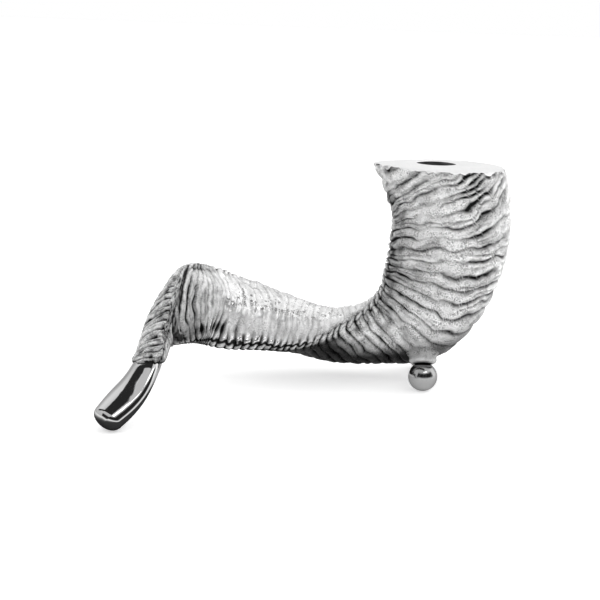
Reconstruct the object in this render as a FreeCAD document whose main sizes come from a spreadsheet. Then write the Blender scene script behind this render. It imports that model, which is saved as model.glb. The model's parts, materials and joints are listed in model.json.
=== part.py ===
"""Taper candle holder in the shape of a ram's horn (shofar), cast in aluminium.

Millimetres, +Z up. The origin is on the table, under the middle of the holder's overall box.
The bell stands upright at +X with its flat face up, the horn bends under and along -X,
and its tail comes forward (-Y) and down, so that the mouthpiece's tip rests on the table.
"""
import FreeCAD, Part
import math
import os

Vector = FreeCAD.Vector

# Driving dimensions: alias, value in mm (or degrees), meaning.
DIMENSIONS = (
    ("top_height", 122.0, "flat bell face above the table"),
    ("candle_diameter", 22.0, "socket for a 7/8 inch taper candle"),
    ("candle_depth", 24.0, "depth of the candle socket"),
    ("candle_x", 65.0, "candle socket axis"),
    ("candle_y", 51.0, "candle socket axis"),
    ("ball_diameter", 16.0, "turned ball feet"),
    ("foot_front_x", 61.0, "front ball foot"),
    ("foot_front_y", 18.0, "front ball foot"),
    ("foot_rear_x", 64.0, "rear ball foot"),
    ("foot_rear_y", 62.0, "rear ball foot"),
    ("boss_diameter", 16.0, "cast boss over each ball, at its lower end"),
    ("boss_root_diameter", 14.0, "cast boss where it runs into the horn"),
    ("boss_rim", 5.6, "lower rim of each boss, from the ball's middle"),
    ("boss_length", 17.0, "length of each boss from its rim into the horn"),
    ("foot_lean", 24.0, "how far bosses and studs lean inwards, in degrees from upright"),
    ("stud_diameter", 5.0, "M5 foot studs"),
    ("stud_in_ball", 9.0, "stud length inside the ball"),
    ("stud_in_boss", 10.0, "stud length inside the boss"),
    ("stud_chamfer", 0.6, "chamfer on both ends of a stud"),
    ("seat_gap", 0.05, "play round the studs, the spigot and in the ball seats"),
    ("hole_overrun", 1.5, "depth left beyond the end of a stud or the spigot"),
    ("spigot_diameter", 8.0, "mouthpiece spigot"),
    ("spigot_length", 13.0, "spigot length inside the horn"),
    ("spigot_root", 6.0, "spigot length buried in the mouthpiece"),
    ("seam_x", -83.2, "middle of the seam between horn and mouthpiece"),
    ("seam_y", -38.0, "middle of the seam between horn and mouthpiece"),
    ("seam_z", 27.5, "middle of the seam between horn and mouthpiece"),
    ("seam_tilt", 20.0, "how far the seam plane leans, rising towards the front, in degrees"),
    ("tip_round", 3.5, "length over which the mouthpiece's end rounds off"),
    ("section_spacing", 9.0, "distance between the sections of the skin"),
    ("face_block", 120.0, "edge of the block that cuts the bell's flat face"),
    ("seam_block", 70.0, "edge of the block that splits horn and mouthpiece"),
)

# The horn from above the bell's flat face to the tip, by hand: the middle of the section, its half
# depth towards the front ridge, its half width across, the direction of the front ridge, and how
# much the section is pinched into a ridge at the front and at the back.
STATIONS = (
    ((60.5, 40.0, 148.0), 32.5, 33.0, (-1.40, 0.20, -0.20), 0.30, 0.00),
    ((66.0, 40.0, 123.5), 33.5, 32.0, (-1.20, 0.15, 0.15), 0.30, 0.00),
    ((73.0, 39.0, 100.5), 32.5, 30.5, (-1.05, 0.10, 0.55), 0.30, 0.00),
    ((73.0, 38.5, 77.0), 32.5, 28.5, (-0.95, 0.00, 0.90), 0.30, 0.00),
    ((65.5, 38.0, 52.5), 30.5, 27.0, (-0.80, -0.15, 1.15), 0.35, -0.15),
    ((53.5, 38.0, 38.5), 28.0, 25.0, (-0.85, -0.50, 1.20), 0.40, -0.25),
    ((39.0, 38.0, 31.0), 23.5, 19.5, (-0.60, -0.90, 1.00), 0.45, -0.20),
    ((13.5, 37.5, 25.5), 21.5, 17.0, (-0.30, -1.20, 0.50), 0.50, 0.05),
    ((-9.5, 36.5, 29.0), 23.0, 16.0, (-0.10, -1.25, -0.30), 0.45, 0.25),
    ((-28.5, 33.5, 34.5), 24.0, 13.5, (0.15, -1.15, -0.75), 0.45, 0.30),
    ((-48.5, 27.0, 39.5), 23.5, 12.5, (0.25, -0.50, -0.75), 0.50, 0.30),
    ((-64.5, 14.0, 46.0), 21.5, 13.0, (0.20, -0.15, -1.05), 0.45, 0.30),
    ((-73.0, -5.0, 46.0), 20.0, 12.5, (-0.15, 0.15, -1.05), 0.40, 0.30),
    ((-79.0, -23.0, 39.5), 16.5, 9.5, (-0.45, 0.40, -0.90), 0.30, 0.30),
    ((-83.5, -39.0, 26.5), 12.5, 7.0, (-0.55, 0.40, -0.60), 0.15, 0.15),
    ((-90.5, -53.0, 15.0), 10.5, 6.2, (-0.60, 0.35, -0.10), 0.05, 0.05),
    ((-101.5, -67.0, 4.0), 7.5, 6.2, (-0.80, 0.50, 0.30), 0.00, 0.00),
)
PINCH_SOFTNESS = 0.3      # how gently the pinch fades in from the middle of the section
SECTION_POINTS = 28       # points round one section
ROUND_ANGLES = (20, 40, 56, 70, 80, 86)   # sections round the tip's end, in degrees of a quarter turn


def make_sheet(doc):
    """The spreadsheet of driving dimensions."""
    sheet = doc.addObject("Spreadsheet::Sheet", "Dimensions")
    for row, (alias, value, meaning) in enumerate(DIMENSIONS, start=1):
        sheet.set("A%d" % row, meaning)
        sheet.set("B%d" % row, str(value))
        sheet.setAlias("B%d" % row, alias)
    doc.recompute()
    return sheet


def bind(target, **expressions):
    """Bind properties to expressions on the sheet; Base_x means Placement.Base.x."""
    for name, expression in expressions.items():
        path = name.replace("Base_", "Placement.Base.")
        target.setExpression(path, expression.replace("$", "Dimensions."))
    return target


def natural_spline(knots, values):
    """The natural cubic spline through values at knots, as a function giving value and slope."""
    last = len(knots) - 1
    bend = [0.0] * (last + 1)
    load = [0.0] * (last + 1)
    for i in range(1, last):
        before = knots[i] - knots[i - 1]
        after = knots[i + 1] - knots[i]
        share = before / (before + after)
        pivot = share * bend[i - 1] + 2.0
        bend[i] = (share - 1.0) / pivot
        kink = (values[i + 1] - values[i]) / after - (values[i] - values[i - 1]) / before
        load[i] = (6.0 * kink / (before + after) - share * load[i - 1]) / pivot
    bend[last] = 0.0
    for i in range(last - 1, -1, -1):
        bend[i] = bend[i] * bend[i + 1] + load[i]

    def evaluate(place):
        k = 0
        while k < last - 1 and place > knots[k + 1]:
            k += 1
        gap = knots[k + 1] - knots[k]
        low = (knots[k + 1] - place) / gap
        high = (place - knots[k]) / gap
        curve = (low ** 3 - low) * bend[k] + (high ** 3 - high) * bend[k + 1]
        tilt = (3 * high ** 2 - 1) * bend[k + 1] - (3 * low ** 2 - 1) * bend[k]
        value = low * values[k] + high * values[k + 1] + curve * gap ** 2 / 6.0
        slope = (values[k + 1] - values[k]) / gap + tilt * gap / 6.0
        return value, slope

    return evaluate


def horn_splines():
    """Splines of every column of STATIONS along the spine, and the spine's length."""
    rows = []
    for centre, depth, width, ridge, front, back in STATIONS:
        rows.append(centre + (depth, width) + ridge + (front, back))
    knots = [0.0]
    for one, two in zip(rows, rows[1:]):
        knots.append(knots[-1] + math.dist(one[:3], two[:3]))
    splines = [natural_spline(knots, [row[i] for row in rows]) for i in range(len(rows[0]))]
    return splines, knots[-1]


def horn_frame(splines, place):
    """Centre, tangent, ridge direction, cross direction and sizes of the horn at one place."""
    values = [spline(place) for spline in splines]
    centre = Vector(*[value for value, slope in values[:3]])
    tangent = Vector(*[slope for value, slope in values[:3]]).normalize()
    ridge = Vector(*[value for value, slope in values[5:8]])
    ridge = (ridge - tangent * ridge.dot(tangent)).normalize()
    across = tangent.cross(ridge)
    sizes = (values[3][0], values[4][0], values[8][0], values[9][0])
    return centre, tangent, ridge, across, sizes


def section_points(splines, place, shrink):
    """Points round one section, first and last the same: an oval pinched into two ridges."""
    centre, tangent, ridge, across, sizes = horn_frame(splines, place)
    depth, width, front, back = sizes
    points = []
    for i in range(SECTION_POINTS + 1):
        angle = 2.0 * math.pi * (i % SECTION_POINTS) / SECTION_POINTS
        reach = math.cos(angle)
        soft = math.hypot(reach, PINCH_SOFTNESS)
        squeeze = 1.0 - front * (soft + reach) / 2.0 - back * (soft - reach) / 2.0
        side = math.sin(angle) * squeeze
        points.append(centre + ridge * (depth * reach * shrink) + across * (width * side * shrink))
    return points


def make_envelope(doc, sheet):
    """The whole horn with its mouthpiece as one closed skin, from above the bell to the tip."""
    splines, length = horn_splines()
    straight = length - sheet.get("tip_round")
    count = round(straight / sheet.get("section_spacing"))
    sections = [section_points(splines, straight * i / count, 1.0) for i in range(count + 1)]
    for degrees in ROUND_ANGLES:
        turn = math.radians(degrees)
        place = straight + sheet.get("tip_round") * math.sin(turn)
        sections.append(section_points(splines, place, math.cos(turn)))
    skin = Part.BSplineSurface()
    skin.interpolate(sections)
    side = skin.toShape()
    ends = [Part.Face(Part.Wire([edge])) for edge in side.Edges if edge.isClosed()]
    shell = Part.makeShell([side] + ends)
    shell.sewShape()
    envelope = doc.addObject("Part::Feature", "horn_envelope")
    envelope.Shape = Part.makeSolid(shell)
    return envelope


def make_block(doc, name, size):
    """A cubic cutting block."""
    block = doc.addObject("Part::Box", name)
    return bind(block, Length=size, Width=size, Height=size)


def make_top_block(doc):
    """The block above the bell's flat face."""
    block = make_block(doc, "above_bell", "$face_block")
    return bind(block, Base_x="$candle_x - $face_block / 2", Base_y="$candle_y - $face_block / 2",
                Base_z="$top_height")


def make_seam_block(doc, sheet):
    """The block that holds the mouthpiece; its upper face is the seam plane."""
    block = make_block(doc, "below_seam", "$seam_block")
    size = sheet.get("seam_block")
    middle = Vector(sheet.get("seam_x"), sheet.get("seam_y"), sheet.get("seam_z"))
    lean = FreeCAD.Rotation(Vector(1, 0, 0), -sheet.get("seam_tilt"))
    corner = lean.multVec(Vector(-size / 2, -size / 2, -size))
    block.Placement = FreeCAD.Placement(middle + corner, lean)
    return block


def cut(doc, name, base, tool):
    """Base minus tool."""
    result = doc.addObject("Part::Cut", name)
    result.Base = base
    result.Tool = tool
    return result


def common(doc, name, base, tool):
    """The space that base and tool share."""
    result = doc.addObject("Part::Common", name)
    result.Base = base
    result.Tool = tool
    return result


def fuse(doc, name, shapes):
    """Several solids joined into one."""
    result = doc.addObject("Part::MultiFuse", name)
    result.Shapes = shapes
    return result


def foot_placement(sheet, side, along):
    """A placement on the axis of one foot, which leans in from the ball's middle to the horn."""
    middle = Vector(sheet.get("foot_%s_x" % side), sheet.get("foot_%s_y" % side),
                    sheet.get("ball_diameter") / 2)
    inwards = {"front": -1, "rear": 1}[side]
    turn = FreeCAD.Rotation(Vector(1, 0, 0), inwards * sheet.get("foot_lean"))
    return FreeCAD.Placement(middle + turn.multVec(Vector(0, 0, along)), turn)


def make_boss(doc, sheet, side):
    """The cast boss that carries one ball foot and runs up into the horn."""
    boss = doc.addObject("Part::Cone", "boss_" + side)
    bind(boss, Radius1="$boss_diameter / 2", Radius2="$boss_root_diameter / 2",
         Height="$boss_length")
    boss.Placement = foot_placement(sheet, side, sheet.get("boss_rim"))
    return boss


def make_seat_tool(doc, side):
    """The hollow in the boss's end that the ball sits in."""
    seat = doc.addObject("Part::Sphere", "seat_tool_" + side)
    return bind(seat, Radius="$ball_diameter / 2 + $seat_gap", Base_x="$foot_%s_x" % side,
                Base_y="$foot_%s_y" % side, Base_z="$ball_diameter / 2")


def stud_start(sheet):
    """Where a stud's lower end is on the foot's axis, from the ball's middle."""
    return sheet.get("ball_diameter") / 2 - sheet.get("stud_in_ball")


def make_stud_hole_tool(doc, sheet, side):
    """The tapped hole for one stud, through the ball's top and up into the boss."""
    hole = doc.addObject("Part::Cylinder", "stud_hole_tool_" + side)
    bind(hole, Radius="$stud_diameter / 2 + $seat_gap",
         Height="$stud_in_ball + $stud_in_boss + 2 * $hole_overrun")
    hole.Placement = foot_placement(sheet, side, stud_start(sheet) - sheet.get("hole_overrun"))
    return hole


def make_candle_tool(doc):
    """The blind candle socket; the tool ends above the flat face."""
    socket = doc.addObject("Part::Cylinder", "candle_tool")
    return bind(socket, Radius="$candle_diameter / 2", Height="2 * $candle_depth",
                Base_x="$candle_x", Base_y="$candle_y", Base_z="$top_height - $candle_depth")


def spigot_placement(sheet, from_seam):
    """A placement on the spigot's axis, which runs along the spine from the mouthpiece upwards."""
    splines, length = horn_splines()
    seam = Vector(sheet.get("seam_x"), sheet.get("seam_y"), sheet.get("seam_z"))
    steps = [length * i / 400.0 for i in range(401)]
    nearest = min(steps, key=lambda place: (horn_frame(splines, place)[0] - seam).Length)
    centre, tangent, ridge, across, sizes = horn_frame(splines, nearest)
    upwards = tangent * -1.0
    turn = FreeCAD.Rotation(Vector(0, 0, 1), upwards)
    return FreeCAD.Placement(centre + upwards * from_seam, turn)


def make_spigot(doc, sheet):
    """The mouthpiece's spigot."""
    spigot = doc.addObject("Part::Cylinder", "spigot")
    bind(spigot, Radius="$spigot_diameter / 2", Height="$spigot_length + $spigot_root")
    spigot.Placement = spigot_placement(sheet, -sheet.get("spigot_root"))
    return spigot


def make_spigot_hole_tool(doc, sheet):
    """The drilled hole in the horn's end that takes the spigot."""
    hole = doc.addObject("Part::Cylinder", "spigot_hole_tool")
    bind(hole, Radius="$spigot_diameter / 2 + $seat_gap",
         Height="$spigot_length + $spigot_root + $hole_overrun")
    hole.Placement = spigot_placement(sheet, -sheet.get("spigot_root"))
    return hole


def make_horn_casting(doc, sheet, envelope, seam_block):
    """The horn: flat bell face, candle socket, two foot bosses and the hole for the mouthpiece."""
    below_face = cut(doc, "horn_below_face", envelope, make_top_block(doc))
    horn = cut(doc, "horn_without_mouthpiece", below_face, seam_block)
    bosses = [make_boss(doc, sheet, side) for side in ("front", "rear")]
    raw_casting = fuse(doc, "raw_casting", [horn] + bosses)
    tools = [make_candle_tool(doc), make_spigot_hole_tool(doc, sheet)]
    for side in ("front", "rear"):
        tools.append(make_seat_tool(doc, side))
        tools.append(make_stud_hole_tool(doc, sheet, side))
    casting = cut(doc, "horn_casting", raw_casting, fuse(doc, "machining", tools))
    casting.Label = "horn_casting"
    return casting


def make_mouthpiece(doc, sheet, envelope, seam_block):
    """The polished mouthpiece with its spigot."""
    tip = common(doc, "mouthpiece_tip", envelope, seam_block)
    mouthpiece = fuse(doc, "mouthpiece", [tip, make_spigot(doc, sheet)])
    mouthpiece.Label = "mouthpiece"
    return mouthpiece


def make_ball_foot(doc, sheet, side):
    """A turned ball, drilled and tapped from the top."""
    ball = doc.addObject("Part::Sphere", "ball_" + side)
    bind(ball, Radius="$ball_diameter / 2", Base_x="$foot_%s_x" % side,
         Base_y="$foot_%s_y" % side, Base_z="$ball_diameter / 2")
    foot = cut(doc, "ball_foot_" + side, ball, make_stud_hole_tool(doc, sheet, side))
    foot.Label = "ball_foot_" + side
    return foot


def make_foot_stud(doc, sheet, side):
    """The threaded stud that holds one ball to its boss."""
    rod = doc.addObject("Part::Cylinder", "stud_rod_" + side)
    bind(rod, Radius="$stud_diameter / 2", Height="$stud_in_ball + $stud_in_boss")
    rod.Placement = foot_placement(sheet, side, stud_start(sheet))
    doc.recompute()
    stud = doc.addObject("Part::Chamfer", "foot_stud_" + side)
    stud.Base = rod
    size = sheet.get("stud_chamfer")
    rims = [number for number, edge in enumerate(rod.Shape.Edges, start=1) if edge.Closed]
    stud.Edges = [(number, size, size) for number in rims]
    stud.Label = "foot_stud_" + side
    return stud


def check(doc, nodes):
    """Stop if any object failed or any sub-part isn't one valid solid."""
    for thing in doc.Objects:
        bad = {"Invalid", "Error"} & set(thing.State)
        if bad:
            raise RuntimeError("%s is %s" % (thing.Name, ", ".join(sorted(bad))))
    for node in nodes:
        shape = node.Shape
        if shape.isNull() or not shape.isValid() or len(shape.Solids) != 1:
            raise RuntimeError("%s isn't one valid solid" % node.Label)


def main():
    doc = FreeCAD.newDocument("shofar_candle_holder")
    sheet = make_sheet(doc)
    envelope = make_envelope(doc, sheet)
    seam_block = make_seam_block(doc, sheet)
    nodes = [make_horn_casting(doc, sheet, envelope, seam_block),
             make_mouthpiece(doc, sheet, envelope, seam_block)]
    for side in ("front", "rear"):
        nodes.append(make_ball_foot(doc, sheet, side))
        nodes.append(make_foot_stud(doc, sheet, side))
    doc.recompute()
    check(doc, nodes)
    os.makedirs("parts", exist_ok=True)
    whole = FreeCAD.BoundBox()
    for node in nodes:
        node.Shape.exportStep("parts/%s.step" % node.Label)
        box = node.Shape.optimalBoundingBox()
        whole.add(box)
        print("%-18s volume %9.0f  x %.2f..%.2f  y %.2f..%.2f  z %.2f..%.2f" % (
            node.Label, node.Shape.Volume, box.XMin, box.XMax, box.YMin, box.YMax, box.ZMin, box.ZMax))
    print("whole  x %.2f..%.2f  y %.2f..%.2f  z %.2f..%.2f" % (
        whole.XMin, whole.XMax, whole.YMin, whole.YMax, whole.ZMin, whole.ZMax))


main()
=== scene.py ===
"""The looks of the shofar candle holder: ribbed cast horn, polished mouthpiece and ball feet.

Lengths are in mm until make_mesh turns them into metres. A place is a distance along the horn's
spine, from 0 above the flat face to LENGTH at the tip. An angle goes round the section: 0 at the
front ridge, 90 on the upper or back face, 180 at the back ridge, -90 on the lower or front face.
"""
import json
import math
from types import SimpleNamespace
import bpy
import numpy as np
from mathutils import Matrix, Vector
from mathutils.bvhtree import BVHTree


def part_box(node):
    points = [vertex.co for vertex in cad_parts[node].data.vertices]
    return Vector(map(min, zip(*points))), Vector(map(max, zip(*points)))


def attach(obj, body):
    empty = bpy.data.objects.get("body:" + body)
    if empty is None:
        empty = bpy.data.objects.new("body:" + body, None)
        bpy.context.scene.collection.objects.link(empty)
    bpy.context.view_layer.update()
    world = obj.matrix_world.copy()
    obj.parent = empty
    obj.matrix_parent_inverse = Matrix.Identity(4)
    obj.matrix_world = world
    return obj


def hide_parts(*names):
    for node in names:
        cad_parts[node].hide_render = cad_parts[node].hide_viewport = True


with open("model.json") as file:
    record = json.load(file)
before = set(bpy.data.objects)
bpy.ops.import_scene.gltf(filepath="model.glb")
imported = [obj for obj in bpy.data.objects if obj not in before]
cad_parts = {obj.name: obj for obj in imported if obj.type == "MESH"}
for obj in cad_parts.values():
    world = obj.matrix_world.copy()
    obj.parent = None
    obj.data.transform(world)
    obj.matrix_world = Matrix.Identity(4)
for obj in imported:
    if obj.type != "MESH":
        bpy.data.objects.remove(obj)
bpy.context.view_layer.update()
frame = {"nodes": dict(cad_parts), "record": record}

MM = 0.001

# The horn from above the bell's flat face to the tip, as in the CAD part: the middle of the
# section, its half depth, its half width, the direction of the front ridge, and the two pinches.
STATIONS = (
    ((60.5, 40.0, 148.0), 32.5, 33.0, (-1.40, 0.20, -0.20), 0.30, 0.00),
    ((66.0, 40.0, 123.5), 33.5, 32.0, (-1.20, 0.15, 0.15), 0.30, 0.00),
    ((73.0, 39.0, 100.5), 32.5, 30.5, (-1.05, 0.10, 0.55), 0.30, 0.00),
    ((73.0, 38.5, 77.0), 32.5, 28.5, (-0.95, 0.00, 0.90), 0.30, 0.00),
    ((65.5, 38.0, 52.5), 30.5, 27.0, (-0.80, -0.15, 1.15), 0.35, -0.15),
    ((53.5, 38.0, 38.5), 28.0, 25.0, (-0.85, -0.50, 1.20), 0.40, -0.25),
    ((39.0, 38.0, 31.0), 23.5, 19.5, (-0.60, -0.90, 1.00), 0.45, -0.20),
    ((13.5, 37.5, 25.5), 21.5, 17.0, (-0.30, -1.20, 0.50), 0.50, 0.05),
    ((-9.5, 36.5, 29.0), 23.0, 16.0, (-0.10, -1.25, -0.30), 0.45, 0.25),
    ((-28.5, 33.5, 34.5), 24.0, 13.5, (0.15, -1.15, -0.75), 0.45, 0.30),
    ((-48.5, 27.0, 39.5), 23.5, 12.5, (0.25, -0.50, -0.75), 0.50, 0.30),
    ((-64.5, 14.0, 46.0), 21.5, 13.0, (0.20, -0.15, -1.05), 0.45, 0.30),
    ((-73.0, -5.0, 46.0), 20.0, 12.5, (-0.15, 0.15, -1.05), 0.40, 0.30),
    ((-79.0, -23.0, 39.5), 16.5, 9.5, (-0.45, 0.40, -0.90), 0.30, 0.30),
    ((-83.5, -39.0, 26.5), 12.5, 7.0, (-0.55, 0.40, -0.60), 0.15, 0.15),
    ((-90.5, -53.0, 15.0), 10.5, 6.2, (-0.60, 0.35, -0.10), 0.05, 0.05),
    ((-101.5, -67.0, 4.0), 7.5, 6.2, (-0.80, 0.50, 0.30), 0.00, 0.00),
)
# For each station: how far the plane of a rib leans from the section's plane, on the lower or front
# face and on the upper or back face, as vectors added to the spine's direction; the distance from
# rib to rib; and the depth of the valleys.
RIBS = (
    ((0.04, 0.00, 0.00), (0.04, 0.00, 0.00), 6.8, 1.0),
    ((0.05, 0.00, 0.00), (0.05, 0.00, 0.00), 6.8, 1.0),
    ((0.05, 0.00, 0.00), (0.05, 0.00, 0.00), 6.9, 1.1),
    ((0.04, -0.02, 0.00), (0.04, 0.00, 0.00), 7.0, 1.2),
    ((0.10, -0.04, -0.06), (0.10, 0.00, -0.05), 7.2, 1.2),
    ((0.19, -0.04, -0.28), (0.15, 0.00, -0.20), 7.0, 1.2),
    ((0.17, 0.00, -0.46), (0.12, 0.00, -0.30), 5.4, 1.1),
    ((0.02, 0.25, -0.46), (0.05, 0.10, -0.20), 4.6, 0.9),
    ((-0.04, 0.25, -0.25), (0.02, 0.10, 0.10), 4.5, 0.8),
    ((0.00, 0.10, 0.00), (0.00, -0.02, 0.00), 4.6, 0.8),
    ((0.00, 0.00, 0.00), (0.00, 0.02, 0.02), 4.4, 0.8),
    ((-0.10, 0.05, -0.10), (0.00, 0.00, 0.06), 4.5, 0.9),
    ((-0.24, 0.13, -0.26), (-0.12, -0.08, 0.50), 4.4, 1.0),
    ((0.10, -0.08, 0.06), (-0.30, -0.50, 0.95), 4.3, 1.0),
    ((0.16, -0.10, 0.05), (-0.10, -0.20, 0.40), 3.8, 0.9),
    ((0.16, -0.10, 0.05), (-0.10, -0.20, 0.40), 3.6, 0.6),
    ((0.16, -0.10, 0.05), (-0.10, -0.20, 0.40), 3.6, 0.6),
)
PINCH_SOFTNESS = 0.3
ROWS, COLUMNS = 590, 158  # of the ribbed skin's grid, which stays under 200,000 triangles

# the bell
TOP = 122.0
BELL_TWIST = 8.5   # half of how far a rib shifts along the horn from one ridge to the other
RIM_CHIP = 2.2     # depth of the chips in the rim, for chips of 1
RIM_FLARE = 2.6    # how far the rim stands out at the front ridge
RIM_BEFORE = 60    # the rim lies somewhere before this place
SOCKET_CHAMFER, SOCKET_CORNER = 0.5, 0.6

# the tail's right face, where the ribs stand upright, so that which rib it is depends on x alone:
# the ribs of this place are at that x, and the place grows by the rate for each mm towards -x
UPRIGHT_PLACE, UPRIGHT_X, UPRIGHT_RATE = 246, -53.5, 1.6

# the mouthpiece
MOUTHPIECE_ROWS, MOUTHPIECE_COLUMNS = 170, 144
SEAM_POINT = np.array((-83.2, -38.0, 27.5))
SEAM_TILT = math.radians(20.0)
SEAM_AFTER, SEAM_BEFORE = 200, 5  # the seam lies between this place and this far from the tip
LIP_OVERLAP = 1.4  # how much further the ribbed skin reaches than the seam
UNDER_LIP = 2.0    # how far before the seam the mouthpiece starts
TIP_ROUND = 4.5
TIP_TURNS = np.radians((8, 16, 24, 32, 40, 48, 56, 63, 70, 76, 81, 85, 88))[:, None]
FACET_PLACE, FACET_ANGLE, FACET_TURN = 319, -121, 0.75  # its angle at that place, its turn per mm

# the feet; the balls' holes end in a drill point
FOOT_LEAN = {"front": math.radians(-24.0), "rear": math.radians(24.0)}
BALL_ROWS, BALL_COLUMNS = 72, 112
BALL_BORE, DRILL_POINT = 8.0, 1.0
BOSS_COLUMNS = 72
BOSS_RADIUS, BOSS_FILLET = 7.5, 2.6
BOSS_RAY_START, BOSS_RAY = 7.5, 40.0  # where the rays that look for the horn start, and how far
BOSS_NO_ROOT = 22.0       # the boss's height where such a ray misses
BOSS_STEEP = 5.0          # the horn is too steep for a fillet where it rises more than this
BOSS_LOWEST_FILLET = 10.0
# A boss's seat and rim, as radii and heights over the ball's middle; the looks of all its rings:
# dark is painted shade, deepest in the hollow seat, and under is painted shade on its lower side.
BOSS_SEAT = ((2.6, 12.0), (2.6, 8.1), (4.0, 7.8), (5.0, 7.3), (5.7, 7.1), (6.4, 7.35), (7.1, 7.9),
             (7.6, 8.7))
BOSS_VALUES = {
    "dark": (1.3, 1.3, 1.3, 1.1, 0.5, 0, 0, 0.05, 0.2, 0.3, 0.35, 0.45, 0.5, 0.5, 0.4),
    "buffed": (0, 0, 0, 0, 0.4, 0.6, 0.6, 0.5, 0.2, 0, 0, 0, 0, 0, 0),
    "under": (0, 0, 0, 0, 0, 0.5, 0.5, 0.4, 0.35, 0.3, 0.3, 0.35, 0.42, 0.45, 0.5),
}

CAST, GROUND, BORE = range(3)  # the horn's material slots
MOST_DARK = 1.6

# the studio, with places and sizes in metres
LIGHT_CHANGE = (0.55, 1.05)       # the heights, as angles, between which the world's light changes
LOW_LIGHT, HIGH_LIGHT = 1.9, 1.2  # its brightness below and above them
TILTED_AXIS = (0.506, 0.828, 0.242)  # across the dark gap overhead
FLOOR_GLOW = 0.62
# the painted shadow that the metal mirrors, a dark patch of floor: its middle, from how far to how
# far it fades out from there, and the floor's tones at both
SHADOW_PATCH_X, SHADOW_PATCH_Y = -0.075, -0.055
SHADOW_PATCH_EDGE, SHADOW_PATCH_TONES = (0.035, 0.075), (0.05, 0.9)
LIGHT_TARGET = (0.0, 0.0, 0.04)
SOFTBOX_PLACE, SOFTBOX_SIZE, SOFTBOX_ENERGY = (0.20, -0.33, 0.46), (0.30, 0.10), 0.3
CAMERA_PLACE = (-0.008, -0.610, 0.1985)
CAMERA_DIP, CAMERA_ROLL = 13.4, 2.0  # degrees
CAMERA_LENS = 71.34


# ---------------------------------------------------------------- curves and noise
def natural_spline(knots, values):
    """Natural cubic splines through the rows of values at knots, as a function of places."""
    gap = np.diff(knots)[:, None]
    count = len(knots)
    system = np.eye(count)
    load = np.zeros_like(values)
    rise = np.diff(values, axis=0) / gap
    for i in range(1, count - 1):
        before, after = gap[i - 1, 0], gap[i, 0]
        system[i, i - 1:i + 2] = before, 2 * (before + after), after
        load[i] = 6 * (rise[i] - rise[i - 1])
    bend = np.linalg.solve(system, load)

    def evaluate(place):
        k = np.clip(np.searchsorted(knots, place) - 1, 0, count - 2)
        g = gap[k]
        high = (place - knots[k])[..., None] / g
        low = 1 - high
        curve = (low ** 3 - low) * bend[k] + (high ** 3 - high) * bend[k + 1]
        tilt = (3 * high ** 2 - 1) * bend[k + 1] - (3 * low ** 2 - 1) * bend[k]
        value = low * values[k] + high * values[k + 1] + curve * g ** 2 / 6
        slope = (values[k + 1] - values[k]) / g + tilt * g / 6
        return value, slope

    return evaluate


def unit(v):
    return v / np.linalg.norm(v, axis=-1, keepdims=True)


def smooth(x, low, high):
    """0 below low, 1 above high, smooth between."""
    t = np.clip((x - low) / (high - low), 0, 1)
    return t * t * (3 - 2 * t)


def band(x, rise, fall):
    """1 between rise and fall, smooth over each; both are pairs of a start and an end."""
    return smooth(x, *rise) * (1 - smooth(x, *fall))


def over(x, level):
    """How far x is over the level, from 0 to 1."""
    return np.clip(x - level, 0, 1)


def near(angle, centre, width):
    """1 at the centre angle, in degrees, fading to 0 over the width."""
    away = (angle - np.radians(centre) + math.pi) % (2 * math.pi) - math.pi
    return np.exp(-(away / math.radians(width)) ** 2)


def valley(distance, width):
    """1 at the bottom of a crevice, falling off over the width."""
    return np.exp(-np.abs(distance / width) ** 1.4)


def lattice(i, j, k, seed):
    """A repeatable number from -1 to 1 for each corner of a lattice."""
    n = (i * 374761393 + j * 668265263 + k * 2147483647 + seed * 1274126177) & 0xFFFFFFFF
    n = ((n ^ (n >> 13)) * 1103515245) & 0xFFFFFFFF
    n = ((n ^ (n >> 16)) * 2654435761) & 0xFFFFFFFF
    return ((n >> 8) & 0xFFFF) / 32767.5 - 1


def noise(x, y, z, seed):
    """Smooth noise from -1 to 1 with features about one unit wide."""
    cell = [np.floor(c).astype(np.int64) for c in (x, y, z)]
    t = [c - f for c, f in zip((x, y, z), cell)]
    t = [c * c * c * (c * (c * 6 - 15) + 10) for c in t]
    total = 0
    for a in (0, 1):
        for b in (0, 1):
            for c in (0, 1):
                weight = (t[0] if a else 1 - t[0]) * (t[1] if b else 1 - t[1])
                weight = weight * (t[2] if c else 1 - t[2])
                total = total + weight * lattice(cell[0] + a, cell[1] + b, cell[2] + c, seed)
    return total


def at_size(points, size, seed):
    """Noise with features of the given size."""
    return noise(*np.moveaxis(points / size, -1, 0), seed)


def fractal(points, size, octaves, seed):
    """Noise in several octaves; size is the widest feature."""
    total, weight = 0, 1.0
    for octave in range(octaves):
        x, y, z = np.moveaxis(points / size, -1, 0)
        total = total + weight * noise(x + 17.3 * octave, y, z, seed + octave)
        size, weight = size / 2, weight / 2
    return total


def round_section(x, angle, rate, seed):
    """Noise that changes with x and, at the given rate, round the section."""
    return noise(x, np.cos(angle) * rate, np.sin(angle) * rate, seed)


def along_rib(index, angle, rate, seed):
    """Noise that runs along each rib and differs from rib to rib."""
    return round_section(index * 5.37, angle, rate, seed)


def round_rim(angle, rate, seed):
    """Noise round one rim."""
    return noise(np.cos(angle) * rate, np.sin(angle) * rate, 0 * angle, seed)


# ---------------------------------------------------------------- the smooth horn
HORN_TABLE = np.array([c + (d, w) + r + (f, b) for c, d, w, r, f, b in STATIONS])
RIB_TABLE = np.array([low + high + (spacing, depth) for low, high, spacing, depth in RIBS])
SPINE_STEPS = np.linalg.norm(np.diff(HORN_TABLE[:, :3], axis=0), axis=1)
KNOTS = np.concatenate([[0], np.cumsum(SPINE_STEPS)])
LENGTH = KNOTS[-1]
horn_at = natural_spline(KNOTS, HORN_TABLE)


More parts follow.
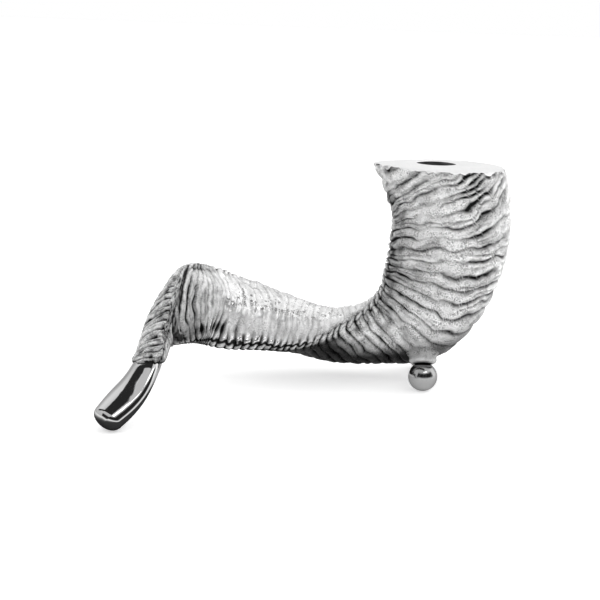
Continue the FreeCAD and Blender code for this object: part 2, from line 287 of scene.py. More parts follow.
def skin(place, angle, shrink=1.0):
    """Points of the smooth horn, the spine's points and the spine's direction."""
    value, slope = horn_at(place)
    centre, ridge = value[..., :3], value[..., 5:8]
    along = unit(slope[..., :3])
    ridge = unit(ridge - along * (ridge * along).sum(-1, keepdims=True))
    across = np.cross(along, ridge)
    depth, width, front, back = (value[..., i, None] for i in (3, 4, 8, 9))
    reach = np.cos(angle)[..., None]
    soft = np.hypot(reach, PINCH_SOFTNESS)
    squeeze = 1 - front * (soft + reach) / 2 - back * (soft - reach) / 2
    side = np.sin(angle)[..., None] * squeeze
    shrink = np.asarray(shrink)[..., None]
    return centre + (ridge * depth * reach + across * width * side) * shrink, centre, along


def place_where(test, low, high, angle):
    """For each angle, the place along the spine where test(point) turns from above 0 to below."""
    low = np.full(angle.shape, float(low))
    high = np.full(angle.shape, float(high))
    for _ in range(40):
        middle = (low + high) / 2
        inside = test(skin(middle, angle)[0]) > 0
        low, high = np.where(inside, middle, low), np.where(inside, high, middle)
    return (low + high) / 2


def seam_place(angle):
    """Where the mouthpiece meets the horn's end, a plane that leans back."""
    normal = np.array((0.0, math.sin(SEAM_TILT), math.cos(SEAM_TILT)))
    return place_where(lambda p: (p - SEAM_POINT) @ normal, SEAM_AFTER, LENGTH - SEAM_BEFORE, angle)


# ---------------------------------------------------------------- the ribs
def rib_phase(place, angle, points, centre, along):
    """How many ribs lie between the horn's top and each point; whole numbers are the crevices."""
    low, high, spacing, _ = np.split(RIB_TABLE, (3, 6, 7), axis=1)
    lean_low = np.stack([np.interp(place, KNOTS, low[:, i]) for i in range(3)], -1)
    lean_high = np.stack([np.interp(place, KNOTS, high[:, i]) for i in range(3)], -1)
    blend = 0.5 - 0.3 * smooth(place, 225, 248)
    share = smooth(np.sin(angle), -blend, blend)
    plane = along + lean_low * (1 - share[..., None]) + lean_high * share[..., None]
    plane = unit(plane)
    offset = ((points - centre) * plane).sum(-1) / (along * plane).sum(-1)
    bell = 1 - smooth(place, 95, 135)
    reach = np.cos(angle)
    u = place + offset - BELL_TWIST * bell * reach * np.abs(reach) ** 0.6
    upright = share * smooth(place, 234, 250) * (1 - smooth(place, 292, 304))
    u = u + upright * (UPRIGHT_PLACE + UPRIGHT_RATE * (UPRIGHT_X - points[..., 0]) - u)
    calm = 1 - 0.55 * smooth(place, 235, 262)
    wide, narrow = at_size(points, 24.0, 3), at_size(points, 9.0, 4)
    u = u + calm * (2.6 * wide + (1.3 + 0.7 * bell) * narrow)
    u = u + (0.4 + 0.3 * bell) * at_size(points, 3.6, 5)
    steps = np.linspace(-80, LENGTH + 80, 2400)
    gap = np.interp(steps, KNOTS, spacing[:, 0])
    turns = np.concatenate([[0], np.cumsum(np.diff(steps) / gap[1:])])
    return np.interp(u, steps, turns)


def horn_zones(place, angle):
    """Masks from 0 to 1 for the horn's different parts, and its two ridges' angles in degrees."""
    zone = SimpleNamespace()
    zone.bell = 1 - smooth(place, 100, 150)
    zone.middle = band(place, (125, 160), (262, 285))
    upper = smooth(np.sin(angle), 0.05, 0.55)
    zone.foil = zone.middle * upper
    zone.sleek = zone.foil * (1 - smooth(place, 228, 245))
    zone.lower_bell = band(place, (78, 100), (165, 185)) * (1 - upper)
    # the bell's deepest crevices, right of its middle, which look like eyes near the rim
    zone.deep = near(angle, -116, 18) * band(place, (12, 24), (92, 112))
    zone.eyes = zone.deep * (1 - smooth(place, 45, 65))
    # the bell's hollow side and its left, which get painted shade, and its middle, which gets
    # painted light
    zone.inner = near(angle, -8, 34) * zone.bell
    zone.shade = near(angle, -26, 20) * band(place, (8, 30), (118, 140))
    zone.bright = near(angle, -82, 36) * band(place, (45, 70), (102, 125))
    # the tail's two faces
    zone.right = band(place, (240, 252), (285, 300)) * upper
    zone.left = smooth(-np.sin(angle), 0.0, 0.5) * smooth(place, 252, 266)
    zone.ridge = np.interp(place, (0, 163, 177, 190, 204, 221, 238, 256, 300),
                           (-2, -2, 14, 23, 31, 36, 36, 30, 8))
    zone.back_ridge = np.interp(place, (205, 225, 247, 262), (180, 162, 162, 180))
    return zone


def crevices(zone, place, angle, phase):
    """The crevices between ribs, the finer creases on them, and the pockets over the ridge."""
    nearest, rib = np.round(phase), np.floor(phase)
    pocket = near(angle, zone.ridge + 15, 12) * band(place, (214, 232), (252, 262))
    pocket = pocket * smooth(along_rib(nearest, angle, 0.3, 30), -0.9, -0.1)
    # cut sets how deep each crevice is and how much painted shade it gets
    cut = 0.5 + 0.3 * zone.lower_bell + 0.75 * along_rib(nearest, angle, 2.3, 12)
    cut = np.clip(cut, 0.08, 1.3) * (1 - 0.3 * zone.foil - 0.2 * zone.sleek)
    cut = cut + 0.35 * zone.right
    cut = cut + zone.left * (0.9 + 1.0 * along_rib(nearest, angle, 0.8, 32))
    cut = cut + zone.deep * (0.8 - 0.2 * zone.eyes + 0.7 * along_rib(nearest, angle, 0.4, 13))
    cut = cut + 1.8 * pocket
    width = 0.075 + 0.03 * along_rib(nearest, angle, 3.1, 14) + 0.035 * zone.deep
    width = width - 0.02 * zone.eyes + 0.24 * pocket + 0.01 * zone.left
    crevice = cut * valley(np.abs(phase - nearest), width)

    split = 0.5 + 0.16 * along_rib(rib, angle, 1.2, 15)
    crease = smooth(along_rib(rib, angle, 1.7, 16), -0.05, 0.45) + 0.8 * zone.deep + 0.7 * zone.left
    crease = crease * valley(phase - rib - split, 0.05 + 0.025 * zone.eyes)
    crease = crease * (1 - 0.6 * zone.foil) * (1 + 0.9 * zone.eyes)
    return crevice, crease, pocket


def ridge_relief(zone, place, angle, points, phase):
    """Beads along the two ridges, parted by notches, with a groove under the front one."""
    across = phase - np.floor(phase)
    notch = valley(np.abs(phase - np.round(phase)), 0.11)
    half = valley(across - 0.5, 0.07)
    wander = 3.0 * at_size(points, 7.0, 29) + 4.0 * at_size(points, 2.4, 31)
    wander = wander + 2.5 * np.sin(2 * math.pi * phase)
    ridge, back_ridge = zone.ridge, zone.back_ridge
    front = near(angle, ridge + wander, 8.5) * band(place, (60, 95), (285, 300))
    back = near(angle, back_ridge + wander, 7) * smooth(place, 150, 200)
    ditch = near(angle, back_ridge - 14 + wander, 5) * smooth(place, 225, 250)
    groove = near(angle, ridge - 11 + wander, 3.8) * band(place, (168, 184), (262, 280))
    seams = near(angle, ridge - 9 + wander, 2.5) + near(angle, ridge + 9 + wander, 2.5)
    seams = seams * band(place, (62, 80), (165, 180))
    under = near(angle, ridge - 24, 10) * zone.middle

    height = front * (1.0 - 1.6 * notch - 0.5 * half) + 0.7 * back * (1 - 1.3 * notch)
    height = height - 0.75 * groove - 0.45 * ditch - 0.4 * seams + under * (0.35 - 1.0 * notch)
    # painted shade in the grooves, the ditch, the seams and the notches between beads
    dark = 1.8 * groove + 0.7 * ditch + 0.6 * seams
    dark = dark + notch * (1.2 * front + 0.8 * under + 1.0 * back)
    return height, dark, front, front * (1 - notch)


def rib_field(place, angle, points, centre, along):
    """Height of the ribbed skin over the smooth one, how dark each crevice is, and how buffed."""
    phase = rib_phase(place, angle, points, centre, along)
    depth = np.interp(place, KNOTS, RIB_TABLE[:, 7])
    zone = horn_zones(place, angle)
    crevice, crease, pocket = crevices(zone, place, angle, phase)
    across = phase - np.floor(phase)
    swell = np.sin(math.pi * across)
    lines = round_section(phase * 3.1, angle, 3.4, 11)
    hairs = round_section(phase * 6.5, angle, 2.4, 35)
    wrinkle = round_section(phase * 2.3, angle, 6, 17)
    streak = round_section(phase * 1.9, angle, 0.9, 33)
    bell, left, rough = zone.bell, zone.left, 1 - zone.sleek

    height = (0.52 + 0.25 * left) * (swell - 0.6) - (1.0 + 0.4 * left) * crevice - 0.55 * crease
    height = depth * height + (0.14 + 0.08 * bell + 0.08 * left) * lines + 0.08 * hairs * rough
    height = height + 0.42 * zone.inner * wrinkle
    height = height + 0.10 * fractal(points, 2.4, 2, 21) * (1 - 0.7 * zone.foil)
    height = height + 0.8 * zone.foil * fractal(points, 6.5, 3, 25)

    # painted shade in the crevices, the creases and the troughs of the hollow side's wrinkles
    dark = crevice + 0.6 * crease + 0.825 * zone.inner * over(-wrinkle, 0.1)
    fine = over(-lines, 0.15) * (1 - 0.6 * zone.sleek)
    dark = dark + (0.7 - 0.25 * bell + 0.4 * left) * fine + 0.5 * over(-hairs, 0.18) * rough
    blots = over(at_size(points, 2.2, 19), -0.1) * (1 - 0.8 * zone.sleek)
    dark = dark + (0.3 - 0.12 * bell) * blots
    # painted shade on the tail's right face, in streaks along the ribs
    right_face_shade = 0.8 * over(streak, -0.3) + 0.2 * smooth(place, 248, 260)
    dark = dark + zone.right * right_face_shade * smooth(place, 248, 262)
    # painted shade on the bell's hollow side and on its left
    dark = dark + 0.25 * zone.inner * smooth(place, 25, 45) + zone.shade * (0.2 + 0.3 * lines)
    # painted light: the bell's middle keeps less of the darkness
    dark = dark * (1 - 0.35 * zone.bright)
    # painted shade on the lower slope of each rib, as if lit from above
    painted_slope_shade = smooth(across, 0.5, 0.95) * smooth(at_size(points, 6.0, 18), -0.5, 0.4)
    dark = dark + 0.2 * painted_slope_shade * (1 - zone.foil)

    relief, relief_painted_shade, front, beads = ridge_relief(zone, place, angle, points, phase)
    height = height + relief
    dark = dark * (1 - 0.95 * front) + relief_painted_shade

    buffed = zone.foil * (1 - 0.6 * smooth(place, 222, 250)) * (1 - pocket)
    buffed = buffed * (1 - 0.7 * near(angle, zone.ridge + 22, 20)) + 0.25 * beads
    return height, np.clip(dark, 0, MOST_DARK), np.clip(buffed, 0, 1)


# ---------------------------------------------------------------- meshes
def circle(columns):
    """The angles of a ring's vertices."""
    return np.arange(columns) * 2 * math.pi / columns


def fan(first, columns, apex, turned):
    """Triangles from the ring of vertices that starts at first to the vertex apex."""
    pairs = [(first + j, first + (j + 1) % columns) for j in range(columns)]
    return [(b, a, apex) if turned else (a, b, apex) for a, b in pairs]


def tube(rings, first=None, last=None, turned=False):
    """Vertices and faces of a tube of rings; an end that has a point is closed by a fan to it."""
    rows, columns = rings.shape[:2]
    vertices = rings.reshape(-1, 3)
    i, j = np.meshgrid(np.arange(rows - 1) * columns, np.arange(columns), indexing="ij")
    k = (j + 1) % columns
    quads = np.stack([i + j, i + k, i + columns + k, i + columns + j], -1).reshape(-1, 4)
    faces = (quads[:, ::-1] if turned else quads).tolist()
    last_ring = len(vertices) - columns
    for ring, point, flip in ((0, first, not turned), (last_ring, last, turned)):
        if point is not None:
            faces += fan(ring, columns, len(vertices), flip)
            vertices = np.concatenate([vertices, [point]])
    return vertices, faces


def normals_of(points):
    """Outward normals of a grid of points whose rows close on themselves."""
    down = np.gradient(points, axis=0)
    around = np.roll(points, -1, axis=1) - np.roll(points, 1, axis=1)
    return unit(np.cross(around, down))


def make_mesh(name, vertices, faces, attributes=None, slots=None):
    """An object from vertices in mm, faces, per-vertex attributes and per-face material slots."""
    mesh = bpy.data.meshes.new(name)
    mesh.from_pydata((np.asarray(vertices) * MM).tolist(), [], [list(f) for f in faces])
    for key, values in (attributes or {}).items():
        layer = mesh.attributes.new(key, "FLOAT", "POINT")
        layer.data.foreach_set("value", np.asarray(values, np.float32))
    if slots is not None:
        mesh.polygons.foreach_set("material_index", np.asarray(slots, np.int32))
    mesh.polygons.foreach_set("use_smooth", np.ones(len(mesh.polygons), bool))
    mesh.update()
    mesh.validate()
    piece = bpy.data.objects.new(name, mesh)
    bpy.context.scene.collection.objects.link(piece)
    return piece


def join(parts):
    """One mesh's vertices, faces, attributes and slots from (vertices, faces, values, slot)s."""
    vertices, faces, slots, base = [], [], [], 0
    values = {"dark": [], "buffed": [], "under": []}
    for points, polygons, given, slot in parts:
        vertices.append(points)
        faces += [tuple(v + base for v in face) for face in polygons]
        slots += [slot] * len(polygons)
        for key in values:
            values[key].append(np.broadcast_to(given.get(key, 0.0), len(points)))
        base += len(points)
    values = {key: np.concatenate(value) for key, value in values.items()}
    return np.concatenate(vertices), faces, values, slots


# ---------------------------------------------------------------- the horn's piece
def ribbed_skin():
    """The ribbed outside of the horn, from the flat face to the ragged lip at the mouthpiece.

    Its attributes: dark is painted shade in the crevices and hollows, together with the grain's
    dark lines and blotches; buffed is how polished it is; under is how much it faces down, which
    the material paints as shade.
    """
    angle = circle(COLUMNS)
    chips = over(round_rim(angle, 7, 43), -0.15) + 0.6 * over(round_rim(angle, 17, 45), 0)
    start = place_where(lambda p: p[..., 2] - TOP + RIM_CHIP * chips, 0, RIM_BEFORE, angle)
    end = seam_place(angle) + LIP_OVERLAP
    end = end + 0.9 * round_rim(angle, 2.6, 41) + 0.5 * round_rim(angle, 7, 42)
    place = start + (end - start) * np.linspace(0, 1, ROWS)[:, None]
    angles = np.broadcast_to(angle, place.shape)
    points, centre, along = skin(place, angles)
    normal = normals_of(points)
    height, dark, buffed = rib_field(place, angles, points, centre, along)

    from_rim, to_lip = place - start, end - place
    edge = 1 - smooth(from_rim, 0.3, 3.2)
    height = height - 0.8 * edge * over(at_size(points, 3.4, 44), -0.15)
    dark = dark + 0.9 * edge * over(at_size(points, 3.0, 46), -0.1)
    height = height + RIM_FLARE * near(angles, 4, 26) * (1 - smooth(from_rim, 0, 7))
    lip = 1 - smooth(to_lip, 0, 1.8)
    height = height * (1 - lip) - 0.5 * lip + 0.5 * band(to_lip, (0, 2.2), (3, 9))
    # painted shade at the lip, where the skin turns in over the mouthpiece
    dark = np.clip(dark + 1.2 * lip, 0, MOST_DARK)

    points = points + normal * height[..., None]
    points[..., 2] = np.minimum(points[..., 2], TOP)
    points[0, :, 2] = TOP - RIM_CHIP * chips
    # painted shade on the skin that faces down, from the bell on, weaker at the tail
    under = smooth(-normal[..., 2], 0.15, 0.62) * smooth(place, 60, 130)
    under = under * (1 - 0.6 * smooth(place, 235, 265))
    return points, {"dark": dark, "buffed": buffed, "under": under}


def flat_face(rim):
    """The rings of the ground face, from the socket outwards, and of the socket, from its floor."""
    mount = next(m for m in frame["record"]["mounts"] if m["name"] == "candle_socket")
    middle_x, middle_y = (c / MM for c in mount["pos_m"][:2])
    radius = mount["dims"]["r_mm"]
    floor = TOP - mount["dims"]["length_mm"]
    turn = np.arctan2(rim[:, 1] - middle_y, rim[:, 0] - middle_x)

    def ring(r, z):
        x, y = middle_x + r * np.cos(turn), middle_y + r * np.sin(turn)
        return np.stack([x, y, np.full(len(turn), z)], -1)

    mouth = ring(radius + SOCKET_CHAMFER, TOP)
    level = rim * (1, 1, 0) + (0, 0, TOP)
    shares = (0.04, 0.25, 0.5, 0.75, 1.0)
    face = [rim] + [level * (1 - share) + mouth * share for share in shares]
    face.append(ring(radius, TOP - SOCKET_CHAMFER))
    wall = np.linspace(TOP - 2 * SOCKET_CHAMFER, floor + SOCKET_CORNER, 14)
    bore = [face[-1]] + [ring(radius, z) for z in wall]
    bore += [ring(radius - SOCKET_CORNER, floor), ring(radius * 0.5, floor), ring(0.3, floor - 0.4)]
    return np.array(face)[::-1], np.array(bore)[::-1]


def boss(side, tree):
    """The cast boss over a ball: a hollow seat, a worn rim and a fillet that runs into the horn."""
    low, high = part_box("ball_foot_" + side)
    centre = Vector((low + high) / 2 / MM)
    turn = Matrix.Rotation(FOOT_LEAN[side], 4, "X").to_3x3()
    axis = turn @ Vector((0, 0, 1))

    def horn_over(spoke, radius):
        """How high over the ball's middle the horn's skin is at that radius, or None."""
        start = centre + spoke * radius + axis * BOSS_RAY_START
        distance = tree.ray_cast(start, axis, BOSS_RAY)[3]
        return None if distance is None else BOSS_RAY_START + distance

    lines = []
    for a in circle(BOSS_COLUMNS).tolist():
        spoke = turn @ Vector((math.cos(a), math.sin(a), 0))
        wall = BOSS_RADIUS + 0.25 * float(noise(math.cos(a) * 2, math.sin(a) * 2, 0.0, 51))
        root = horn_over(spoke, wall) or BOSS_NO_ROOT
        outer = horn_over(spoke, wall + BOSS_FILLET)
        if outer and abs(outer - root) < BOSS_STEEP:
            foot = (wall + BOSS_FILLET, outer + 0.4)
        else:
            foot = (wall + 0.3, root + 1.5)
        top = max(root - BOSS_FILLET, BOSS_LOWEST_FILLET)
        profile = list(BOSS_SEAT) + [(wall + 0.25, 9.6)]
        for s in (0.0, 0.2, 0.4, 0.6, 0.8, 1.0):
            r = (1 - s) ** 2 * wall + 2 * s * (1 - s) * wall + s * s * foot[0]
            h = (1 - s) ** 2 * top + 2 * s * (1 - s) * root + s * s * foot[1]
            profile.append((r, h))
        lines.append([list(centre + spoke * r + axis * h) for r, h in profile])
    grid = np.array(lines).transpose(1, 0, 2)
    out = unit(grid - grid.mean(axis=1, keepdims=True))
    rough = 0.13 * fractal(grid, 2.2, 2, 61) * smooth(np.arange(len(grid)), 5, 8)[:, None]
    grid = grid + out * rough[..., None]
    vertices, faces = tube(grid, grid[0].mean(0), grid[-1].mean(0), turned=True)
    values = {key: np.append(np.repeat(row, BOSS_COLUMNS), (row[0], row[-1]))
              for key, row in BOSS_VALUES.items()}
    return vertices, faces, values, CAST


def make_horn():
    """The horn with its flat face, candle socket and bosses, as one piece with three materials."""
    points, values = ribbed_skin()
    vertices, faces = tube(points, last=points[-1].mean(0))
    values = {key: np.append(value, 1.0) for key, value in values.items()}
    tree = BVHTree.FromPolygons(vertices.tolist(), faces)
    face, bore = flat_face(points[0])
    parts = [
        (vertices, faces, values, CAST),
        (*tube(face), {}, GROUND),
        (*tube(bore, first=bore[0].mean(0)), {}, BORE),
        boss("front", tree),
        boss("rear", tree),
    ]
    return make_mesh("horn", *join(parts))


# ---------------------------------------------------------------- the polished pieces
def make_mouthpiece():
    """The smooth end of the horn, which starts under the ragged lip and has one shallow facet."""
    angle = circle(MOUTHPIECE_COLUMNS)
    start = seam_place(angle) - UNDER_LIP
    straight = LENGTH - TIP_ROUND
    place = start + (straight - start) * np.linspace(0, 1, MOUTHPIECE_ROWS)[:, None]
    from_start = place - start
    shrink = 1 - 0.03 * (1 - smooth(from_start, 0, 14)) - 0.05 * (1 - smooth(from_start, 1, 6))
    facet = np.radians(FACET_ANGLE + FACET_TURN * (place - FACET_PLACE))
    flat = 0.982 - 0.016 * smooth(place, FACET_PLACE, FACET_PLACE + 9)
    shrink = shrink * np.minimum(1, flat / np.clip(np.cos(angle - facet), 0.1, 1))
    place = np.concatenate([place, straight + TIP_ROUND * np.sin(TIP_TURNS) + 0 * angle])
    shrink = np.concatenate([shrink, np.cos(TIP_TURNS) ** 0.8 * shrink[-1]])
    points, _, _ = skin(place, np.broadcast_to(angle, place.shape), shrink)
    return make_mesh("mouthpiece_polished", *tube(points, points[0].mean(0), points[-1].mean(0)))


def make_ball(side):
    """A polished ball with the drilled and chamfered hole for its stud."""
    low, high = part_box("ball_foot_" + side)
    radius = (high[2] - low[2]) / 2 / MM
    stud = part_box("foot_stud_" + side)
    bore = (stud[1][0] - stud[0][0]) / 2 / MM + 0.05
    rim = math.asin((bore + 0.5) / radius)
    lip = radius * math.cos(rim)
    profile = [(bore, lip - BALL_BORE), (bore, lip - 0.5), (bore + 0.45, lip - 0.03)]
    for a in np.linspace(rim, math.pi, BALL_ROWS)[:-1]:
        profile.append((radius * math.sin(a), radius * math.cos(a)))
    angle = circle(BALL_COLUMNS)
    rings = np.array([np.stack([r * np.cos(angle), r * np.sin(angle), 0 * angle + z], -1)
                      for r, z in profile])
    ends = (0, 0, lip - BALL_BORE - DRILL_POINT), (0, 0, -radius)
    ball = make_mesh("ball_" + side, *tube(rings, *ends, turned=True))
    lean = Matrix.Rotation(FOOT_LEAN[side], 4, "X")
    ball.data.transform(Matrix.Translation((low + high) / 2) @ lean)
    return ball


# ---------------------------------------------------------------- materials
class Nodes:
    """Short ways to add nodes to the tree of a material or a world."""

    def __init__(self, owner):
        owner.use_nodes = True
        self.new = owner.node_tree.nodes.new
        self.link = owner.node_tree.links.new
        self.tree = owner.node_tree

    def find(self, kind):
        return next(n for n in self.tree.nodes if n.type == kind)

    def spread(self, value, low, high, to_low=0.0, to_high=1.0, kind="LINEAR"):
        """The value, mapped so that low and high become to_low and to_high."""
        node = self.new("ShaderNodeMapRange")
        node.interpolation_type = kind
        numbers = {"From Min": low, "From Max": high, "To Min": to_low, "To Max": to_high}
        for key, number in numbers.items():
            node.inputs[key].default_value = number
        self.link(value, node.inputs["Value"])
        return node.outputs["Result"]

    def combine(self, kind, a, b=0.0):
        """A math node on a and b, which are floats or sockets."""
        node = self.new("ShaderNodeMath")
        node.operation = kind
        for socket, value in zip(node.inputs, (a, b)):
            if isinstance(value, float):
                socket.default_value = value
            else:
                self.link(value, socket)
        return node.outputs[0]

    def finish(self, seen, mirrored, output):
        """Show the camera one shader, and light the object and its reflections by the other."""
        switch = self.new("ShaderNodeMixShader")
        self.link(self.new("ShaderNodeLightPath").outputs["Is Camera Ray"], switch.inputs[0])
        self.link(mirrored.outputs[0], switch.inputs[1])
        self.link(seen.outputs[0], switch.inputs[2])
        self.link(switch.outputs[0], self.find(output).inputs["Surface"])


class Metal(Nodes):
    """A metal material."""

    def __init__(self, name, tone, roughness):
        self.material = bpy.data.materials.new(name)
        super().__init__(self.material)
        self.out = self.find("BSDF_PRINCIPLED")
        self.out.inputs["Metallic"].default_value = 1.0
        self.out.inputs["Base Color"].default_value = (tone, tone, tone, 1)
        self.out.inputs["Roughness"].default_value = roughness
        self.place = self.new("ShaderNodeTexCoord").outputs["Object"]

    def attribute(self, name):
        node = self.new("ShaderNodeAttribute")
        node.attribute_name = name
        return node.outputs["Fac"]

    def noise(self, scale, detail=2.0, stretch=None):
        node = self.new("ShaderNodeTexNoise")
        node.inputs["Scale"].default_value = scale
        node.inputs["Detail"].default_value = detail
        source = self.place
        if stretch:
            mapping = self.new("ShaderNodeMapping")
            mapping.inputs["Scale"].default_value = stretch
            self.link(source, mapping.inputs["Vector"])
            source = mapping.outputs["Vector"]
        self.link(source, node.inputs["Vector"])
        return node.outputs["Fac"]

    def grey(self, value):
        """Base colour from a number."""
        node = self.new("ShaderNodeValToRGB")
        self.link(value, node.inputs["Fac"])
        self.link(node.outputs["Color"], self.out.inputs["Base Color"])

    def roughness(self, value):
        self.link(value, self.out.inputs["Roughness"])

    def bump(self, value, distance):
        node = self.new("ShaderNodeBump")
        node.inputs["Strength"].default_value = 1.0
        node.inputs["Distance"].default_value = distance
        self.link(value, node.inputs["Height"])
        self.link(node.outputs["Normal"], self.out.inputs["Normal"])


def cast_metal():
    """Cast aluminium: painted shade dark in the crevices, hollows and underneath, grainy, buffed on
    top.
    """
    s = Metal("cast_horn", 0.6, 0.45)
    dark, buffed, under = (s.attribute(name) for name in ("dark", "buffed", "under"))
    grain = s.noise(1500, 3.0)
    patch = s.noise(160, 3.0)
    # painted shade: the dark attribute darkens the crevices and hollows
    tone = s.spread(dark, 0.0, 1.1, 0.97, 0.03)
    # painted shade: the under attribute darkens the faces that turn down
    tone = s.combine("MULTIPLY", tone, s.spread(under, 0.0, 1.0, 1.0, 0.03))
    tone = s.combine("MULTIPLY", tone, s.spread(buffed, 0.0, 1.0, 1.0, 0.8))
    rough_share = s.combine("SUBTRACT", 1.0, buffed)
    specks = s.combine("MULTIPLY", s.spread(grain, 0.38, 0.56, 0.6, 0.0), rough_share)
    specks = s.combine("MULTIPLY", specks, s.spread(s.noise(240), 0.42, 0.58, 0.25, 1.0))
    tone = s.combine("MULTIPLY", tone, s.combine("SUBTRACT", 1.0, specks))
    tone = s.combine("MULTIPLY", tone, s.spread(patch, 0.35, 0.65, 0.90, 1.04))
    s.grey(tone)
    rough = s.spread(buffed, 0.0, 1.0, 0.62, 0.2)
    s.roughness(s.combine("ADD", rough, s.spread(dark, 0.0, 1.0, 0.0, 0.2)))
    height = s.combine("MULTIPLY", grain, s.spread(buffed, 0.0, 1.0, 1.0, 0.08))
    crinkle = s.combine("MULTIPLY", s.noise(300), s.spread(buffed, 0.0, 1.0, 0.0, 1.4))
    s.bump(s.combine("ADD", height, crinkle), 0.0006)
    return s.material


def ground_face():
    """The flat face: satin, with the fine arcs of the grinding."""
    s = Metal("ground_face", 0.84, 0.38)
    arcs = s.noise(900, stretch=(1.0, 0.06, 1.0))
    s.grey(s.spread(s.combine("ADD", arcs, s.noise(60)), 0.7, 1.3, 0.80, 0.88))
    s.roughness(s.spread(arcs, 0.3, 0.7, 0.33, 0.45))
    s.bump(arcs, 0.00004)
    return s.material


def socket_metal():
    """The candle's bore: dark, as painted shade in the deep hole, with the rings of the turning
    tool.
    """
    s = Metal("socket_bore", 0.2, 0.5)
    turned = s.noise(500, stretch=(0.2, 0.2, 4.0))
    s.grey(s.spread(turned, 0.3, 0.7, 0.14, 0.24))
    s.bump(turned, 0.0001)
    return s.material


def polished(name, tone, roughness, ripple):
    """Hand-polished metal: a mirror with faint ripples and hairline marks."""
    s = Metal(name, tone, roughness)
    wave, hair = s.noise(70), s.noise(900, stretch=(1.0, 0.08, 0.3))
    s.roughness(s.spread(hair, 0.35, 0.7, roughness * 0.8, roughness * 1.6))
    s.bump(s.combine("ADD", wave, s.combine("MULTIPLY", hair, 0.04)), ripple)
    s.out.inputs["Specular Tint"].default_value = (0.5, 0.5, 0.5, 1)
    return s.material


def machined_steel():
    """The studs: plain steel with fine lines."""
    s = Metal("machined_steel", 0.5, 0.35)
    lines = s.noise(700, stretch=(0.3, 1.0, 3.0))
    s.roughness(s.spread(lines, 0.3, 0.7, 0.28, 0.45))
    s.bump(lines, 0.00006)
    return s.material


# ---------------------------------------------------------------- the studio
def make_floor():
    """A pale floor that the camera sees white.

    The metal sees it less bright, with a painted shadow, a dark patch beside the mouthpiece, for it
    to mirror.
    """
    bpy.ops.mesh.primitive_plane_add(size=40)
    floor = bpy.context.object
    floor.name = "floor"
    material = bpy.data.materials.new("floor")
    s = Nodes(material)
    pale, grey = s.find("BSDF_PRINCIPLED"), s.new("ShaderNodeBsdfPrincipled")
    for node, tone, roughness, glow in ((pale, 0.95, 0.95, 0.5), (grey, 0.9, 1.0, 0.0)):
        node.inputs["Base Color"].default_value = (tone, tone, tone, 1)
        node.inputs["Roughness"].default_value = roughness
        node.inputs["Specular IOR Level"].default_value = 0.0
        node.inputs["Emission Color"].default_value = (1, 1, 1, 1)
        node.inputs["Emission Strength"].default_value = glow
    from_shadow_patch = s.new("ShaderNodeMapping")
    from_shadow_patch.inputs["Location"].default_value = (-SHADOW_PATCH_X, -SHADOW_PATCH_Y, 0.0)
    s.link(s.new("ShaderNodeTexCoord").outputs["Object"], from_shadow_patch.inputs["Vector"])
    away = s.new("ShaderNodeVectorMath")
    away.operation = "LENGTH"
    s.link(from_shadow_patch.outputs["Vector"], away.inputs[0])
    # painted shadow: the floor that the metal sees turns dark near the mouthpiece
    shade = s.spread(away.outputs["Value"], *SHADOW_PATCH_EDGE, *SHADOW_PATCH_TONES, "SMOOTHSTEP")
    s.link(shade, grey.inputs["Base Color"])
    s.link(s.combine("MULTIPLY", shade, FLOOR_GLOW), grey.inputs["Emission Strength"])
    s.finish(pale, grey, "OUTPUT_MATERIAL")
    floor.data.materials.append(material)


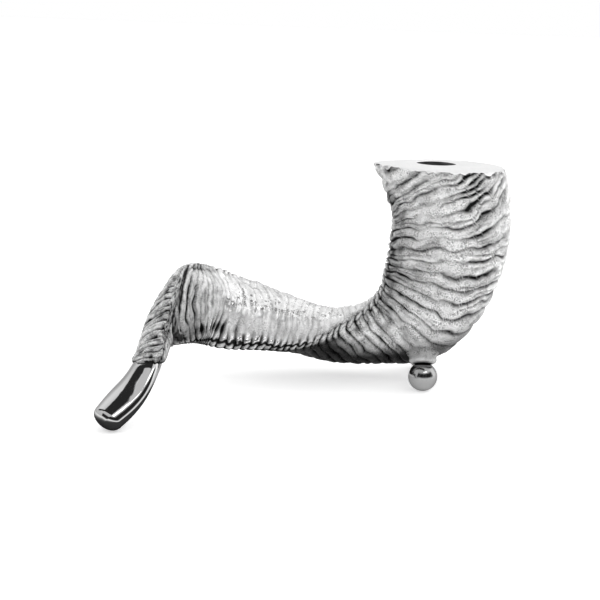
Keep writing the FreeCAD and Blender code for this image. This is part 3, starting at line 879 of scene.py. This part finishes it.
def make_world():
    """White for the camera; for the metal, light all round with bright walls and dark gaps."""
    world = bpy.data.worlds.new("studio")
    bpy.context.scene.world = world
    s = Nodes(world)
    parts = s.new("ShaderNodeSeparateXYZ")
    s.link(s.new("ShaderNodeTexCoord").outputs["Generated"], parts.inputs["Vector"])
    x, y, z = (parts.outputs[axis] for axis in "XYZ")

    def both(a, b):
        return s.combine("MULTIPLY", a, b)

    def above(value, edge, soft):
        return s.spread(value, edge - soft, edge + soft, kind="SMOOTHSTEP")

    def below(value, edge, soft):
        return s.combine("SUBTRACT", 1.0, above(value, edge, soft))

    def between(value, low, high):
        return both(above(value, *low), below(value, *high))

    # azimuth is 0 towards the camera and grows to the right; both angles are in radians
    azimuth = s.combine("ARCTAN2", x, both(y, -1.0))
    height = s.combine("ARCSINE", z)
    tilted = s.combine("ADD", both(x, TILTED_AXIS[0]), both(y, TILTED_AXIS[1]))
    tilted = s.combine("ADD", tilted, both(z, TILTED_AXIS[2]))
    front = between(azimuth, (-0.92, 0.07), (1.45, 0.16))
    front = both(front, between(height, (0.06, 0.12), (0.70, 0.12)))
    gap = both(between(tilted, (-0.13, 0.02), (0.16, 0.015)), between(z, (0.5, 0.08), (1.2, 0.1)))
    gap = both(gap, below(x, 0.15, 0.06))
    wall = between(azimuth, (-1.4, 0.1), (0.9, 0.15))
    wall = both(wall, between(height, (0.72, 0.06), (1.16, 0.08)))
    behind = s.combine("MAXIMUM", above(y, 0.6, 0.2), above(both(x, -1.0), 0.6, 0.25))
    behind = both(behind, below(height, 0.9, 0.2))
    colour = s.spread(height, *LIGHT_CHANGE, LOW_LIGHT, HIGH_LIGHT)
    for value, share in ((1.0, behind), (1.0, wall), (0.03, front), (0.04, gap)):
        mix = s.new("ShaderNodeMix")
        mix.data_type = "RGBA"
        mix.inputs["B"].default_value = (value, value, value, 1)
        s.link(colour, mix.inputs["A"])
        s.link(share, mix.inputs["Factor"])
        colour = mix.outputs["Result"]
    mirrored, plain = s.find("BACKGROUND"), s.new("ShaderNodeBackground")
    s.link(colour, mirrored.inputs["Color"])
    plain.inputs["Color"].default_value = (1, 1, 1, 1)
    s.finish(plain, mirrored, "OUTPUT_WORLD")


def make_stage():
    """The floor, the world, one softbox and the camera."""
    scene = bpy.context.scene
    make_floor()
    make_world()
    data = bpy.data.lights.new("softbox_top", "AREA")
    data.shape = "RECTANGLE"
    data.size, data.size_y = SOFTBOX_SIZE
    data.energy = SOFTBOX_ENERGY
    light = bpy.data.objects.new("softbox_top", data)
    facing = (Vector(SOFTBOX_PLACE) - Vector(LIGHT_TARGET)).to_track_quat("Z", "Y")
    light.matrix_world = Matrix.Translation(SOFTBOX_PLACE) @ facing.to_matrix().to_4x4()
    scene.collection.objects.link(light)
    data = bpy.data.cameras.new("camera")
    data.sensor_width = 36
    data.lens = CAMERA_LENS
    camera = bpy.data.objects.new("camera", data)
    pitch, roll = math.radians(90 - CAMERA_DIP), math.radians(CAMERA_ROLL)
    camera.matrix_world = (Matrix.Translation(CAMERA_PLACE)
                           @ Matrix.Rotation(pitch, 4, "X") @ Matrix.Rotation(roll, 4, "Z"))
    scene.collection.objects.link(camera)
    scene.camera = camera
    scene.view_settings.view_transform = "Standard"


def place_piece(piece, node):
    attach(piece, "root")
    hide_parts(node)


horn = make_horn()
for material in (cast_metal(), ground_face(), socket_metal()):  # in the order CAST, GROUND, BORE
    horn.data.materials.append(material)
place_piece(horn, "horn_casting")

mouthpiece = make_mouthpiece()
mouthpiece.data.materials.append(polished("polished_mouthpiece", 0.47, 0.06, 0.0002))
place_piece(mouthpiece, "mouthpiece")

ball_metal, steel = polished("ball_feet", 0.32, 0.14, 0.00004), machined_steel()
for side in ("front", "rear"):
    ball = make_ball(side)
    ball.data.materials.append(ball_metal)
    place_piece(ball, "ball_foot_" + side)
    stud = frame["nodes"]["foot_stud_" + side]
    stud.data.materials.clear()
    stud.data.materials.append(steel)

make_stage()
